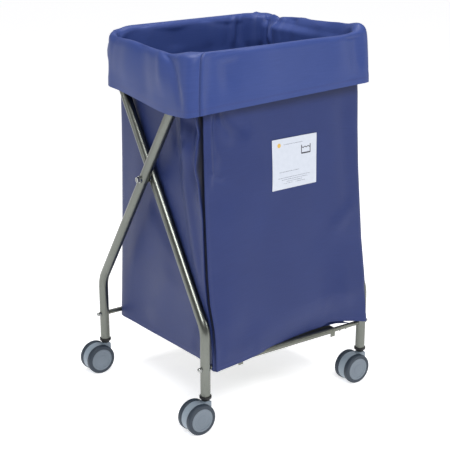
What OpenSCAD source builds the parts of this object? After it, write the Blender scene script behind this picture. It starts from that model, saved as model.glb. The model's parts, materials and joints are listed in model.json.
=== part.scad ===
// Folding laundry cart: two crossed tube frames on twin-wheel casters hold a fabric bag,
// whose floor lies on a sheet-metal shelf between the two crossbars.
// Frame: +Z up, front is -Y, origin on the floor midway between the four legs. Millimetres.

/* [Tube frames] */
// Outside diameter of the frame tube
tube_d = 25.4; // [22:0.1:28]
// Wall thickness of the frame tube
tube_wall = 1.5; // [1:0.1:2]
// Width of one frame between its leg axes
frame_w = 506; // [480:1:530]
// Gap between the two tubes where they cross
cross_gap = 2.1; // [1.5:0.1:4]
// Distance of the leg axes in front of and behind the centre
leg_y = 224.5; // [215:0.5:235]
// Height of the lower end of the tube
leg_bottom = 87; // [86:0.5:95]
// Height where the upright leg turns towards the pivot
knee_h = 265; // [250:1:280]
// Height of the pivot where the frames cross
pivot_h = 600; // [580:1:620]
// Height of the top bars
top_h = 927; // [900:1:940]
// Bend radius of the top corners
corner_r = 75; // [50:1:80]
// Bend radius of the knee in each leg
knee_r = 75; // [60:1:90]

/* [Crossbars and shelf] */
// Height of the crossbars
bar_h = 164; // [155:1:175]
// Diameter of the crossbars
bar_d = 12; // [10:0.5:14]
// Width of the sheet-metal shelf
shelf_w = 314; // [280:1:340]
// Sheet thickness of the shelf
shelf_t = 1.5; // [1:0.1:2]
// Depth of the turned-down edges of the shelf
shelf_edge = 8; // [5:0.5:12]

/* [Pivot] */
// Diameter of the pivot bolt
pivot_d = 8; // [6:0.5:10]

/* [Casters] */
// Diameter of the caster wheels
wheel_d = 80; // [76:1:80]
// Distance of the wheel axle behind the swivel axis
trail = 26.6; // [24:0.1:30]
// Overall width of the twin wheels
caster_w = 53; // [52:1:56]
// Diameter of the swivel stem
stem_d = 11; // [8:0.5:11]
// Diameter of the black collar under each tube
collar_d = 30.5; // [28:0.5:32]

/* [Bag] */
// Thickness of the fabric as a solid
cloth = 3; // [2:0.5:4]
// Half width of the bag, outside
bag_x = 221; // [210:1:222]
// Half depth of the bag at the top, outside
bag_y_top = 201; // [190:1:202]
// Half depth of the bag at the floor, outside
bag_y_low = 229; // [205:1:230]
// Depth of the turned-over cuff
cuff_h = 153; // [120:1:180]
// Width of the label on the front
label_w = 141; // [100:1:150]
// Height of the label on the front
label_h = 127; // [90:1:140]

/* [Hidden] */
$fn = 64;
CORNERS = ["fl", "fr", "rl", "rr"];

tube_r = tube_d / 2;
// each frame stands half the crossing distance off centre, so the two are the same part turned round
shift = (tube_d + cross_gap) / 2;
half_w = frame_w / 2;
lean = atan(leg_y / (pivot_h - knee_h));
top_y = (top_h - pivot_h) * tan(lean);
slope_len = (top_h - knee_h) / cos(lean);
knee_cut = knee_r * tan(lean / 2);
bar_r = bar_d / 2;
bar_half = half_w - tube_r;
fit_gap = 0.05;
clear = 0.3;

stud_r = 3;
stud_out = 7;
nut_base_r = 6.2;
nut_neck_r = 5;
dome_r = 5.2;
dome_at = 5.4;
pin_r = 1.5;
pin_below = 9;
pin_reach = [180, 201];

eye_out = bar_r + clear + shelf_t;
shelf_under = bar_h + bar_r + clear;
shelf_top = shelf_under + shelf_t;
ear_w = 14;
ear_low = 149;

pivot_r = pivot_d / 2;
pivot_head_h = 3;
nut_af = 13;
nut_h = 6.5;
saddle_t = 2;

wheel_r = wheel_d / 2;
wheel_half = caster_w / 2;
tyre_in = 11.8;
tyre_out = wheel_half - 0.5;
tyre_core = 30;
tyre_round = 4;
axle_r = 4;
axle_half = 22;
hood_half = 11;
hood_r = 38;
hood_low = 8;
neck_r = 10.5;
collar_low = leg_bottom - 8;
socket_top = leg_bottom + 30;
collar_neck_r = 10;
collar_lip = 4;
stem_low = 50;

floor_low = shelf_top + clear;
rim_low = top_h + tube_r + 0.5;
rim_top = rim_low + cloth;
cuff_y = top_y + tube_r + 1.5;
cuff_x = half_w + shift + tube_r + 1;
label_x = 37;
label_z = 643;

steel = [0.66, 0.67, 0.64];
black = [0.10, 0.10, 0.12];
fabric = [0.30, 0.36, 0.62];
tyre_grey = [0.27, 0.30, 0.36];
disc_grey = [0.55, 0.60, 0.66];
hood_grey = [0.60, 0.66, 0.72];

// ---- tube frames ------------------------------------------------------------------------

module tube_ring() {
    difference() {
        circle(tube_r);
        circle(tube_r - tube_wall);
    }
}

module tube(length) {
    linear_extrude(length) tube_ring();
}

// a bend that starts at the origin along +Z and turns towards +X
module tube_bend(radius, angle) {
    translate([radius, 0, 0]) rotate([90, 0, 0])
        rotate_extrude(angle = angle) translate([-radius, 0]) rotate(180) tube_ring();
}

// half of a frame: leg, knee, sloping tube and half of the top bar, on the side of +X
module frame_half() {
    translate([half_w, leg_y, leg_bottom]) tube(knee_h - knee_cut - leg_bottom);
    translate([half_w, leg_y, knee_h - knee_cut]) rotate(-90)
        mirror([0, 0, 0]) knee_bend();
    translate([half_w, leg_y, knee_h]) rotate([lean, 0, 0]) {
        translate([0, 0, knee_cut]) tube(slope_len - corner_r - knee_cut);
        translate([0, 0, slope_len - corner_r]) rotate(180) corner_bend();
        translate([0, 0, slope_len]) rotate([0, -90, 0])
            translate([0, 0, corner_r]) tube(half_w - corner_r);
    }
}

module knee_bend() {
    translate([knee_r, 0, 0]) rotate([-90, 0, 0]) rotate(180)
        rotate_extrude(angle = lean) translate([knee_r, 0]) tube_ring();
}

module corner_bend() {
    translate([corner_r, 0, 0]) rotate([-90, 0, 0]) rotate(180)
        rotate_extrude(angle = 90) translate([corner_r, 0]) tube_ring();
}

module cross_hole(y, z, r) {
    translate([0, y, z]) rotate([0, 90, 0]) cylinder(h = frame_w + 100, r = r, center = true);
}

// one frame with its legs at the rear, standing the shift to the left
module frame_solid() {
    difference() {
        union() {
            frame_half();
            mirror([1, 0, 0]) frame_half();
        }
        cross_hole(leg_y, bar_h, stud_r + fit_gap);
        cross_hole(0, pivot_h, pivot_r + fit_gap);
    }
}

module rear_leg_frame() color(steel) translate([-shift, 0, 0]) frame_solid();
module front_leg_frame() color(steel) rotate(180) translate([-shift, 0, 0]) frame_solid();

// ---- crossbars and shelf ----------------------------------------------------------------

// a round bar whose turned-down ends pass through the legs and take the cap nuts
module crossbar_solid() {
    translate([-shift, leg_y, bar_h]) rotate([0, 90, 0]) {
        cylinder(h = 2 * bar_half, r = bar_r, center = true);
        cylinder(h = 2 * (half_w + tube_r + stud_out), r = stud_r, center = true);
    }
}

module rear_crossbar() color(steel) crossbar_solid();
module front_crossbar() color(steel) rotate(180) difference() {
    crossbar_solid();
    for (s = [-1, 1], reach = pin_reach)
        translate([-shift + s * reach, leg_y, bar_h - bar_r - 1])
            cylinder(h = bar_d + 2, r = pin_r + fit_gap);
}

// a cap nut: a washer face, a neck and a dome, with a blind bore for the stud
module cap_nut() {
    difference() {
        union() {
            cylinder(h = 1.2, r = nut_base_r);
            cylinder(h = dome_at, r = nut_neck_r);
            translate([0, 0, dome_at]) sphere(dome_r);
        }
        translate([0, 0, -dome_r]) cylinder(h = stud_out + dome_r + 0.5, r = stud_r + fit_gap);
    }
}

module crossbar_nuts_solid() {
    for (s = [-1, 1])
        translate([-shift + s * (half_w + tube_r), leg_y, bar_h]) rotate([0, s * 90, 0]) cap_nut();
}

module rear_crossbar_nuts() color(steel) crossbar_nuts_solid();
module front_crossbar_nuts() color(steel) rotate(180) crossbar_nuts_solid();

// pins through the front crossbar that stop the shelf from sliding sideways
module shelf_stop_pins() color(steel) rotate(180)
    for (s = [-1, 1], reach = pin_reach)
        translate([-shift + s * reach, leg_y, bar_h - pin_below]) cylinder(h = pin_below + bar_r - 0.5, r = pin_r);

// the shelf's side view, with y along its depth: an eye round the front bar and a hook over the rear bar
module shelf_profile() {
    difference() {
        union() {
            translate([-leg_y, bar_h]) circle(eye_out);
            translate([-leg_y, shelf_under]) square([2 * leg_y, shelf_t]);
            translate([leg_y, bar_h]) intersection() {
                circle(eye_out);
                square(eye_out);
            }
            translate([leg_y + bar_r + clear, bar_h - bar_r]) square([shelf_t, bar_r]);
        }
        translate([-leg_y, bar_h]) circle(bar_r + fit_gap);
        translate([leg_y, bar_h]) circle(bar_r + clear);
        // slit where the rolled sheet ends
        translate([-leg_y + 3, bar_h - eye_out]) square([eye_out, eye_out]);
    }
}

module shelf_side_edges() {
    for (s = [-1, 1])
        translate([s * (shelf_w - shelf_t) / 2, 0, shelf_top - shelf_edge / 2])
            cube([shelf_t, 2 * leg_y - 4 * bar_d, shelf_edge], center = true);
}

module shelf_ears() {
    for (s = [-1, 1])
        translate([s * (shelf_w - ear_w) / 2, 0, 0]) difference() {
            translate([-ear_w / 2, -leg_y - eye_out + 1, ear_low])
                cube([ear_w, shelf_t, bar_h - ear_low]);
            translate([0, -leg_y, bar_h]) rotate([0, 90, 0])
                cylinder(h = ear_w + 2, r = bar_r + fit_gap, center = true);
        }
}

module shelf() color(steel) translate([shift, 0, 0]) {
    rotate([90, 0, 90]) translate([0, 0, -shelf_w / 2]) linear_extrude(shelf_w) shelf_profile();
    shelf_side_edges();
    shelf_ears();
}

// ---- pivot ------------------------------------------------------------------------------

// places a part at both pivots, its +Z pointing outwards from the tube's outer face
module at_pivots(out = 0) {
    for (s = [-1, 1])
        translate([s * (half_w + shift + out), 0, pivot_h]) rotate([0, s * 90, 0]) children();
}

// a dome-headed bolt whose head bears on the plane z = 0
module dome_bolt(shank_r, length, head_r, head_h) {
    ball_r = (head_r * head_r + head_h * head_h) / (2 * head_h);
    translate([0, 0, -length]) cylinder(h = length, r = shank_r);
    intersection() {
        translate([0, 0, head_h - ball_r]) sphere(ball_r);
        cylinder(h = head_h + 1, r = head_r);
    }
}

pivot_grip = 2 * shift + tube_d;

module pivot_bolts() color(steel) at_pivots(tube_r - pivot_grip) mirror([0, 0, 1]) {
    dome_bolt(pivot_r, pivot_grip + saddle_t + nut_h - 1, 7, pivot_head_h);
}

module pivot_nuts() color(steel) at_pivots(tube_r + saddle_t) difference() {
    cylinder(h = nut_h, r = nut_af / 2 / cos(30), $fn = 6);
    translate([0, 0, -1]) cylinder(h = nut_h + 2, r = pivot_r + fit_gap);
}

// a washer shaped to the sloping tube on one side and flat under the nut on the other
module saddle_washer_solid() {
    difference() {
        cylinder(h = tube_r + saddle_t, r = 9);
        translate([0, 0, -1]) cylinder(h = tube_r + saddle_t + 2, r = pivot_r + fit_gap);
        rotate([0, 90, -lean]) cylinder(h = 40, r = tube_r + fit_gap, center = true);
        translate([0, 0, -1]) cylinder(h = tube_r - 3, r = 10);
    }
}

module pivot_saddle_right() color(steel)
    translate([half_w + shift, 0, pivot_h]) rotate([0, 90, 0]) saddle_washer_solid();
module pivot_saddle_left() color(steel)
    rotate(180) translate([half_w + shift, 0, pivot_h]) rotate([0, 90, 0]) saddle_washer_solid();

module pivot_spacers() color(black) at_pivots(-shift - (cross_gap - 0.1) / 2) difference() {
    cylinder(h = cross_gap - 0.1, r = 10);
    translate([0, 0, -1]) cylinder(h = cross_gap + 2, r = pivot_r + fit_gap);
}

// ---- bag --------------------------------------------------------------------------------

bag_rise = rim_top - floor_low;
neck_low = 864;
neck_high = 915;
neck_x = 180;
neck_y = 168;
function bag_y(z) = bag_y_low + (bag_y_top - bag_y_low) * (z - floor_low) / bag_rise;

// the upper corners are cut off slanting, to pass inside the bends of the top bars
module front_panel_solid() {
    intersection() {
        rotate([90, 0, 90]) translate([0, 0, -bag_x]) linear_extrude(2 * bag_x) polygon([
            [-bag_y_low, floor_low], [-bag_y_low + cloth, floor_low],
            [-bag_y_top + cloth, rim_top], [-bag_y_top, rim_top],
        ]);
        rotate([90, 0, 0]) linear_extrude(bag_y_low + 1) polygon([
            [-bag_x, floor_low], [bag_x, floor_low], [bag_x, neck_low], [neck_x, neck_high],
            [neck_x, rim_top], [-neck_x, rim_top], [-neck_x, neck_high], [-bag_x, neck_low],
        ]);
    }
}

module side_panel_solid() {
    rotate([90, 0, 90]) translate([0, 0, bag_x - cloth]) linear_extrude(cloth) polygon([
        [-bag_y_low + cloth, floor_low], [bag_y_low - cloth, floor_low],
        [bag_y(neck_low) - cloth, neck_low], [neck_y, neck_high], [neck_y, rim_top],
        [-neck_y, rim_top], [-neck_y, neck_high], [cloth - bag_y(neck_low), neck_low],
    ]);
}

module bag_front_panel() color(fabric) front_panel_solid();
module bag_rear_panel() color(fabric) rotate(180) front_panel_solid();
module bag_right_panel() color(fabric) side_panel_solid();
module bag_left_panel() color(fabric) rotate(180) side_panel_solid();

module bag_floor() color(fabric) translate([0, 0, floor_low + cloth / 2])
    cube([2 * (bag_x - cloth), 2 * (bag_y_low - cloth - clear), cloth], center = true);

// the cuff hangs outside the tubes, and its top strip lies over the top bar
module front_cuff_solid() {
    translate([-cuff_x - cloth, -cuff_y - cloth, rim_top - cuff_h]) cube([2 * (cuff_x + cloth), cloth, cuff_h]);
    translate([-bag_x, -cuff_y, rim_low]) cube([2 * bag_x, cuff_y - bag_y_top - 2 * clear, cloth]);
}

module side_cuff_solid() {
    translate([cuff_x, -cuff_y, rim_top - cuff_h]) cube([cloth, 2 * cuff_y, cuff_h]);
    translate([bag_x + clear, -cuff_y, rim_low]) cube([cuff_x - bag_x - clear, 2 * cuff_y, cloth]);
}

module cuff_front() color(fabric) front_cuff_solid();
module cuff_rear() color(fabric) rotate(180) front_cuff_solid();
module cuff_right() color(fabric) side_cuff_solid();
module cuff_left() color(fabric) rotate(180) side_cuff_solid();

label_t = 0.8;
bag_lean = atan((bag_y_low - bag_y_top) / bag_rise);

module label() color("white")
    translate([label_x, -bag_y(label_z), label_z]) rotate([-bag_lean, 0, 0])
        translate([-label_w / 2, -label_t, -label_h / 2]) cube([label_w, label_t, label_h]);

// ---- casters, each modelled about its own swivel axis ------------------------------------

// position of each leg: front legs belong to one frame, rear legs to the other
function leg_at(c) = [
    (c == "fl" || c == "rl" ? -half_w : half_w) + (c == "fl" || c == "fr" ? shift : -shift),
    c == "fl" || c == "fr" ? -leg_y : leg_y, 0];

// a turned solid about the wheel axle, drawn as [radius, distance along the axle]
module on_axle() {
    translate([-trail, 0, wheel_r]) rotate([-90, 0, 0]) rotate_extrude() children();
}

// a plastic socket pushed into the tube, whose collar cups the tube's end
module socket_solid() {
    rotate_extrude() polygon([
        [stem_d / 2 + fit_gap, collar_low], [collar_neck_r, collar_low],
        [collar_neck_r, collar_low + 1.5], [collar_d / 2, leg_bottom - 1.5],
        [collar_d / 2, leg_bottom + collar_lip], [tube_r + fit_gap, leg_bottom + collar_lip],
        [tube_r + fit_gap, leg_bottom], [tube_r - tube_wall - fit_gap, leg_bottom],
        [tube_r - tube_wall - fit_gap, socket_top],
        [stem_d / 2 + fit_gap, socket_top],
    ]);
}

module stem_solid() {
    translate([0, 0, stem_low]) cylinder(h = socket_top - stem_low - 1, d = stem_d);
}

module hood_solid() {
    difference() {
        union() {
            translate([0, hood_half, 0]) rotate([90, 0, 0]) linear_extrude(2 * hood_half) difference() {
                union() {
                    translate([-trail, wheel_r]) circle(hood_r);
                    translate([-12, wheel_r]) square([12 + neck_r, collar_low - 3 - wheel_r]);
                }
                translate([-trail - hood_r - 1, 0]) square([2 * hood_r + 20, hood_low]);
            }
            translate([0, 0, collar_low - 3.5]) cylinder(h = 3.3, r = neck_r);
        }
        translate([0, 0, stem_low]) cylinder(h = 60, d = stem_d + 2 * fit_gap);
        translate([-trail, 0, wheel_r]) rotate([90, 0, 0])
            cylinder(h = 40, r = axle_r + fit_gap, center = true);
    }
}

module axle_solid() {
    translate([-trail, 0, wheel_r]) rotate([90, 0, 0]) cylinder(h = 2 * axle_half, r = axle_r, center = true);
}

// outer face with a raised ring, a recess and a raised cap; the hub is open towards the hood
module disc_solid() {
    on_axle() polygon([
        [axle_r + fit_gap, tyre_in], [10, tyre_in], [10, tyre_in + 2], [tyre_core - 0.1, tyre_in + 2],
        [tyre_core - 0.1, tyre_out], [tyre_core - 1.5, wheel_half], [25, wheel_half],
        [23.5, wheel_half - 0.8], [14, wheel_half - 0.8], [13, wheel_half - 0.4], [10, wheel_half], [0, wheel_half],
        [0, axle_half + 0.5], [axle_r + fit_gap, axle_half + 0.5],
    ]);
}

module tyre_solid() {
    on_axle() {
        translate([tyre_core, tyre_in]) square([wheel_r - tyre_round - tyre_core, tyre_out - tyre_in]);
        translate([tyre_core, tyre_in + tyre_round])
            square([wheel_r - tyre_core, tyre_out - tyre_in - 2 * tyre_round]);
        for (y = [tyre_in + tyre_round, tyre_out - tyre_round])
            translate([wheel_r - tyre_round, y]) circle(tyre_round);
    }
}

module caster_socket(c) color(black) translate(leg_at(c)) socket_solid();
module caster_stem(c) color(steel) translate(leg_at(c)) stem_solid();
module caster_hood(c) color(hood_grey) translate(leg_at(c)) hood_solid();
module caster_axle(c) color(steel) translate(leg_at(c)) axle_solid();
module wheel_disc_rear(c) color(disc_grey) translate(leg_at(c)) disc_solid();
module wheel_disc_front(c) color(disc_grey) translate(leg_at(c)) mirror([0, 1, 0]) disc_solid();
module tyre_rear(c) color(tyre_grey) translate(leg_at(c)) tyre_solid();
module tyre_front(c) color(tyre_grey) translate(leg_at(c)) mirror([0, 1, 0]) tyre_solid();

rear_leg_frame();
front_leg_frame();
front_crossbar();
rear_crossbar();
front_crossbar_nuts();
rear_crossbar_nuts();
shelf_stop_pins();
shelf();
pivot_bolts();
pivot_nuts();
pivot_saddle_left();
pivot_saddle_right();
pivot_spacers();
bag_front_panel();
bag_rear_panel();
bag_left_panel();
bag_right_panel();
bag_floor();
cuff_front();
cuff_rear();
cuff_left();
cuff_right();
label();
for (c = CORNERS) {
    caster_socket(c);
    caster_stem(c);
    caster_hood(c);
    caster_axle(c);
    wheel_disc_front(c);
    wheel_disc_rear(c);
    tyre_front(c);
    tyre_rear(c);
}
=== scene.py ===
# %% [markdown]
# # A folding laundry cart
# Two bent steel tube frames cross like scissors, stand on four twin-wheel casters, and carry
# a deep fabric bag whose top is turned over the bars. The exact steel and plastic parts come
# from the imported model. This lesson gives them their finishes, and makes the fabric, which a
# solid model can only stand in for.

# %% Load the frame
import json
import math

import bpy
import numpy as np
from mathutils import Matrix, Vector

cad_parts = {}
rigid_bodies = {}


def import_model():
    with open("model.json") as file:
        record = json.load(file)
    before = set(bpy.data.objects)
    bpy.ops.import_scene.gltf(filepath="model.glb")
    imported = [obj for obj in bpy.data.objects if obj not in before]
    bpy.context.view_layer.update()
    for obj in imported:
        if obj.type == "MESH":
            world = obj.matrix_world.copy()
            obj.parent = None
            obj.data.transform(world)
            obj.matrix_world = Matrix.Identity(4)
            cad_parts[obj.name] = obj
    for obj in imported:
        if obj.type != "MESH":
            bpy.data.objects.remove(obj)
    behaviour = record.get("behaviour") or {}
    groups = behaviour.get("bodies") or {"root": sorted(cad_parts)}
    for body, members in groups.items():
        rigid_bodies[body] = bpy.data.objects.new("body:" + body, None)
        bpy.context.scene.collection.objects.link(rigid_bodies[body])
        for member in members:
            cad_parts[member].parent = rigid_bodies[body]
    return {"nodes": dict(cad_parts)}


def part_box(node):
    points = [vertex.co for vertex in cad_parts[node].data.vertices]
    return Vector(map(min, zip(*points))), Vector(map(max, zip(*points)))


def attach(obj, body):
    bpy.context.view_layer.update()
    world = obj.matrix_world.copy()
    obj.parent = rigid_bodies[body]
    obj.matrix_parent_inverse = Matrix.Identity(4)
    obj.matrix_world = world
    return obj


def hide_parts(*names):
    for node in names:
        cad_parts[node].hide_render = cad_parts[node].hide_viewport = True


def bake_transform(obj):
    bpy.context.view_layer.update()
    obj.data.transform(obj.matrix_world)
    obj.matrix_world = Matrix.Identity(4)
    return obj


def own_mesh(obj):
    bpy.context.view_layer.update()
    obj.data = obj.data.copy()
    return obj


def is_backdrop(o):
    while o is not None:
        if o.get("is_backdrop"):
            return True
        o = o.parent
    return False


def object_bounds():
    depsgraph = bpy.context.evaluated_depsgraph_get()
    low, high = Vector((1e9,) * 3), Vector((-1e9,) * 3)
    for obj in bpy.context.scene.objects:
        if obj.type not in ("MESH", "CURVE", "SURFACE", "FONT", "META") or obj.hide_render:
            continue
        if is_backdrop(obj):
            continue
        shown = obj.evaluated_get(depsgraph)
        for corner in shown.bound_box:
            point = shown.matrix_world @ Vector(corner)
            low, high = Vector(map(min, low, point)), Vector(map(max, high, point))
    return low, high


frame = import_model()
cart_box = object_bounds()
print("cart box:", [round(c, 4) for corner in cart_box for c in corner])

# %% [markdown]
# ## Selecting with care
# An operator works on everything that is selected, and the imported parts all are. So each
# step first deselects everything and then picks the one piece that it works on.

# %% Pick one piece
CORNERS = ("fl", "fr", "rl", "rr")


def let_go():
    """Deselect everything."""
    for other in bpy.context.scene.objects:
        other.select_set(False)


def pick(piece):
    """Select this piece alone and make it the active one."""
    let_go()
    piece.select_set(True)
    bpy.context.view_layer.objects.active = piece
    return piece


def apply_modifier(piece, kind, **settings):
    """Add a modifier with these settings and apply it at once."""
    pick(piece)
    bpy.ops.object.modifier_add(type=kind)
    modifier = piece.modifiers[-1]
    for name, value in settings.items():
        setattr(modifier, name, value)
    bpy.ops.object.modifier_apply(modifier=modifier.name)


let_go()
print("selected now:", len(bpy.context.selected_objects))

# %% [markdown]
# ## Shader maths as Python sums
# A pattern is a sum of masks. Wired by hand it's a wide tangle of Math nodes. Here a small
# class wraps a socket, so that `1 - mask * 0.3` adds the nodes itself. All other nodes come
# from one method, which sets a node's settings first and its sockets after that.


# %% A value in a shader
class Value:
    """A node's output that can stand in a Python sum."""

    def __init__(self, finish, socket):
        self.finish, self.socket = finish, socket

    def maths(self, operation, *others):
        sockets = dict(enumerate((self, *others)))
        return self.finish.node("ShaderNodeMath", {"operation": operation}, sockets)

    def __add__(self, other):
        return self.maths("ADD", other)

    def __radd__(self, other):
        return self.maths("ADD", other)

    def __sub__(self, other):
        return self.maths("SUBTRACT", other)

    def __rsub__(self, other):
        return (self * -1).maths("ADD", other)

    def __mul__(self, other):
        return self.maths("MULTIPLY", other)

    def __rmul__(self, other):
        return self.maths("MULTIPLY", other)

    def __gt__(self, other):
        return self.maths("GREATER_THAN", other)

    def __lt__(self, other):
        return self.maths("LESS_THAN", other)

    def __mod__(self, other):
        return self.maths("FLOORED_MODULO", other)


# %% A finish and its nodes
class Finish:
    """A material that is being made, and the one way to add a node to it."""

    def __init__(self, name, **constants):
        self.material = bpy.data.materials.new(name)
        self.material.use_nodes = True
        self.tree = self.material.node_tree
        self.shader = self.tree.nodes["Principled BSDF"]
        for socket, value in constants.items():
            self.shader.inputs[socket.replace("_", " ")].default_value = value

    def feed(self, socket, value):
        if isinstance(value, Value):
            self.tree.links.new(value.socket, socket)
        else:
            socket.default_value = value

    def node(self, kind, settings=None, sockets=None, out=0):
        made = self.tree.nodes.new(kind)
        for name, value in (settings or {}).items():
            setattr(made, name, value)
        for name, value in (sockets or {}).items():
            self.feed(made.inputs[name], value)
        return Value(self, made.outputs[out])

    def surface(self, **links):
        for name, value in links.items():
            self.feed(self.shader.inputs[name.replace("_", " ")], value)
        return self.material


# %% [markdown]
# Four small helpers cover nearly all patterns here: a place to read from, a noise, a mix of
# two colours, and a bump. Colours are written as they look on a screen and turned linear.


# %% Helpers for patterns
def tint(red, green, blue):
    """A screen colour, 0 to 255, as the linear colour that a shader needs."""
    share = (np.array([red, green, blue]) / 255.0 + 0.055) / 1.055
    low = np.array([red, green, blue]) / 255.0 / 12.92
    line = np.where(share > 0.0904, share**2.4, low)
    return (*[float(c) for c in line], 1.0)


def place(finish, kind="Object"):
    """Object coordinates in metres, or the piece's own UV map."""
    names = {"Object": 3, "UV": 2}
    return finish.node("ShaderNodeTexCoord", out=names[kind])


def noise(finish, where, scale, detail=2.0, stretch=(1, 1, 1)):
    """Noise around 0.5, finer as scale grows, and drawn out by stretch."""
    placed = finish.node(
        "ShaderNodeMapping", {}, {"Vector": where, "Scale": stretch}
    )
    return finish.node(
        "ShaderNodeTexNoise", {}, {"Vector": placed, "Scale": scale, "Detail": detail}
    )


def mix(finish, first, second, share):
    """One colour going over into another."""
    return finish.node(
        "ShaderNodeMix",
        {"data_type": "RGBA"},
        {0: share, 6: first, 7: second},
        out=2,
    )


def bump(finish, height, strength, depth):
    """A height turned into a normal."""
    sockets = {"Height": height, "Strength": strength, "Distance": depth}
    return finish.node("ShaderNodeBump", {}, sockets)


print("white is", tint(255, 255, 255)[:3])

# %% [markdown]
# ## Steel
# The frames are satin-plated tube: a grey, slightly warm metal with fine handling marks. The
# crossbars and the shelf are the same metal, duller and more worn. The bolts and cap nuts
# are brighter. One recipe makes all four, with its own colours and wear.


# %% Steel finishes
def steel(name, dark, light, rough, wear):
    finish = Finish(name, Metallic=1.0, Specular_IOR_Level=0.5)
    where = place(finish)
    cloud = noise(finish, where, 9, 3)
    drawn = noise(finish, where, 900, 2, (1, 1, 0.12))
    spots = noise(finish, where, 160, 4)
    marks = (spots > 0.63) * wear
    colour = mix(finish, tint(*dark), tint(*light), cloud * 0.6 + drawn * 0.4)
    colour = mix(finish, colour, tint(*[c * 0.72 for c in dark]), marks)
    gloss = rough - 0.05 + drawn * 0.08 + cloud * 0.05 + marks * 0.2
    relief = bump(finish, drawn * 0.5 + spots * 0.5, 0.12, 0.0003)
    return finish.surface(Base_Color=colour, Roughness=gloss, Normal=relief)


tube_steel = steel("tube_steel", (90, 93, 88), (130, 133, 127), 0.28, 0.10)
bar_steel = steel("bar_steel", (104, 106, 98), (132, 134, 126), 0.36, 0.25)
shelf_steel = steel("shelf_steel", (98, 100, 92), (126, 128, 120), 0.38, 0.30)
bright_steel = steel("bright_steel", (150, 152, 150), (180, 182, 180), 0.2, 0.08)

STEEL_PARTS = {
    "rear_leg_frame": tube_steel,
    "front_leg_frame": tube_steel,
    "front_crossbar": bar_steel,
    "rear_crossbar": bar_steel,
    "shelf_stop_pins": bar_steel,
    "shelf": shelf_steel,
}


def finish_part(name, material):
    """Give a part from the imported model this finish, in all its slots."""
    part = frame["nodes"][name]
    if not part.material_slots:
        part.data.materials.append(material)
    for each in part.material_slots:
        each.material = material


for name, material in STEEL_PARTS.items():
    finish_part(name, material)
for name in frame["nodes"]:
    if name.startswith("pivot") or name.endswith(("_bolts", "_nuts")):
        finish_part(name, bright_steel)
print("steel parts:", len(STEEL_PARTS))

# %% [markdown]
# ## Moulded plastic and tyres
# Each caster has a pale hood, two grey wheel discs and two dark slate tyres, below a black
# collar that cups the tube's end. Moulded plastic has a faint grain. The discs also show the
# rings that a mould's lathe leaves, and these need the wheel's own centre, so every caster
# has its own disc finish.


# %% Plastic finishes
def moulded(name, colour, rough, grain=0.25, spread=6, rings=None):
    finish = Finish(name, Specular_IOR_Level=0.5)
    where = place(finish)
    cloud = noise(finish, where, 14, 2)
    grains = noise(finish, where, 1500, 2)
    pale = tint(*[min(255, c + spread) for c in colour])
    deep = tint(*[max(0, c - spread) for c in colour])
    shade = mix(finish, deep, pale, cloud)
    height = grains
    if rings is not None:
        centred = finish.node(
            "ShaderNodeMapping",
            {},
            {"Vector": where, "Location": [-c for c in rings], "Scale": (1, 0, 1)},
        )
        radius = finish.node(
            "ShaderNodeVectorMath", {"operation": "LENGTH"}, {0: centred}, out=1
        )
        turned = (radius * 1400).maths("SINE") * 0.5 + 0.5
        step = (radius % 0.0105 < 0.0008) * (radius < 0.0235)
        shade = mix(finish, shade, deep, turned * 0.25 + step * 0.75)
        height = grains * 0.4 + turned * 0.6 + step * -1.5
    relief = bump(finish, height, grain, 0.0002)
    gloss = rough + grains * 0.08
    return finish.surface(Base_Color=shade, Roughness=gloss, Normal=relief)


black_plastic = moulded("black_plastic", (13, 13, 15), 0.5, spread=3)
hood_plastic = moulded("hood_plastic", (136, 149, 161), 0.42)
tyre_rubber = moulded("tyre_rubber", (38, 50, 63), 0.5, 0.4, 4)

for corner in CORNERS:
    low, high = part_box(f"wheel_disc_front_{corner}")
    middle = (low + high) / 2
    disc = moulded(f"disc_plastic_{corner}", (110, 121, 132), 0.42, 0.35, 8, middle)
    for side in ("front", "rear"):
        finish_part(f"wheel_disc_{side}_{corner}", disc)
        finish_part(f"tyre_{side}_{corner}", tyre_rubber)
    finish_part(f"caster_hood_{corner}", hood_plastic)
    finish_part(f"caster_socket_{corner}", black_plastic)
    for part in ("stem", "axle"):
        finish_part(f"caster_{part}_{corner}", bright_steel)
print("caster finishes:", len(bpy.data.materials))
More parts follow.
